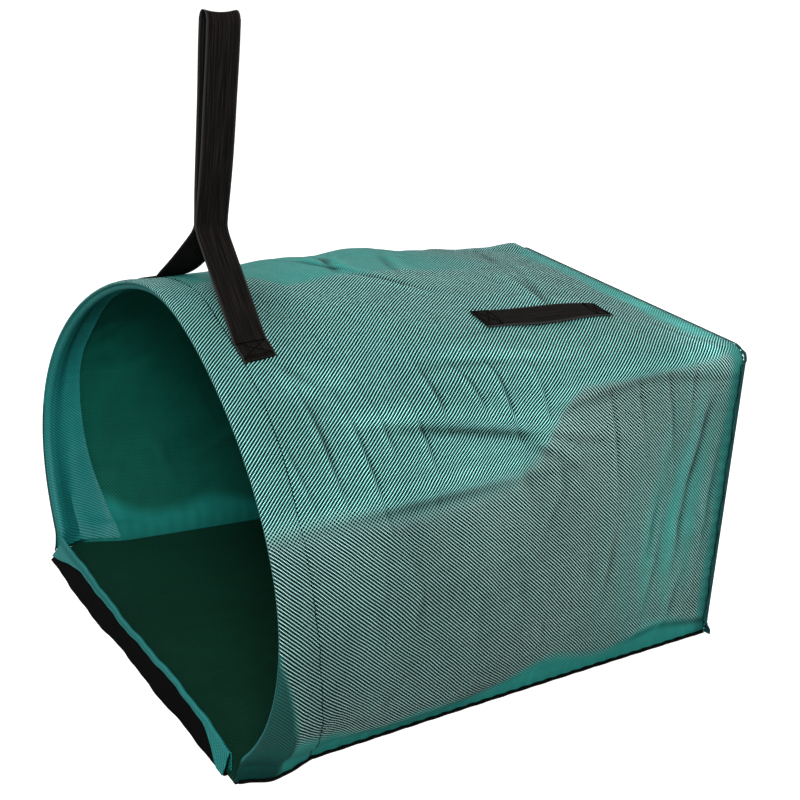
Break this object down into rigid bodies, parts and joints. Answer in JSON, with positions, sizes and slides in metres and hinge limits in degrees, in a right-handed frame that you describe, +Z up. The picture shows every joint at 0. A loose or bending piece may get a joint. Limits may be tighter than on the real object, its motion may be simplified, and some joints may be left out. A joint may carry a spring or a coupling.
{
  "type": "dustpan leaf bag",
  "caption": "Woven garden leaf bag that stands on its side like a dustpan, with a hooped arch mouth, boxed rear end, front lip, carry strap and grab handle.",
  "frame": {"origin": "on the floor under the middle of the bag's outline, at the bottom centre of the bounding box", "axes": "+Z is up, with the black base on Z = 0. -Y is the mouth's side and +Y the rear panel's. +X is the bag's right as seen from in front of the mouth, where the grab handle is."},
  "size_m": [0.7912, 0.8222, 0.867],
  "materials": {
    "woven_green": "plain-woven flat tapes, teal and near-black, slight sheen",
    "liner_green": "coated inner side of the woven cloth, dark green, satin",
    "base_black": "coated black cloth, satin",
    "seam_green": "folded and overlocked cloth edge, matte",
    "webbing_black": "ribbed webbing, matte",
    "thread_black": "sewing thread, matte",
    "rod_white": "smooth fibreglass rod, satin",
    "vinyl_black": "smooth soft plastic, satin"
  },
  "bodies": {
    "bag": {"base_panel": "base_black", "floor_liner": "liner_green", "wrap_panel": "woven_green", "rear_panel": "woven_green", "rear_arch_seam": "seam_green", "rear_floor_seam": "seam_green", "side_seam_left": "base_black", "side_seam_right": "base_black", "hem_facing": "liner_green", "mouth_hoop": "rod_white", "hoop_cap_left": "vinyl_black", "hoop_cap_right": "vinyl_black", "hem_stitch": "thread_black", "strap_end_left": "webbing_black", "strap_end_right": "webbing_black", "end_stitch_left": "thread_black", "end_stitch_right": "thread_black", "grab_end_front": "webbing_black", "grab_end_rear": "webbing_black", "grab_stitch_front": "thread_black", "grab_stitch_rear": "thread_black"},
    "sill": {"front_lip": "base_black", "lip_batten": "vinyl_black", "lip_facing": "liner_green"},
    "strap_legs": {"strap_leg_left": "webbing_black", "strap_leg_right": "webbing_black"},
    "strap_loop": {"carry_loop": "webbing_black", "junction_stitch": "thread_black"},
    "grab_middle": {"grab_strap": "webbing_black"}
  },
  "joints": [
    {"name": "lip_fold", "type": "hinge", "parent": "bag", "child": "sill", "pos_m": [0, -0.40795, 0.0036], "axis": [1, 0, 0], "range_deg": [-60, 85]},
    {"name": "strap_swing", "type": "hinge", "parent": "bag", "child": "strap_legs", "pos_m": [0, -0.31427, 0.50745], "axis": [1, 0, 0], "range_deg": [-35, 35]},
    {"name": "loop_fold", "type": "hinge", "parent": "strap_legs", "child": "strap_loop", "pos_m": [0, -0.31427, 0.598], "axis": [0, 1, 0], "range_deg": [-85, 85]},
    {"name": "grab_lift", "type": "slide", "parent": "bag", "child": "grab_middle", "axis": [0, 0, 1], "range_m": [0, 0.03]}
  ]
}
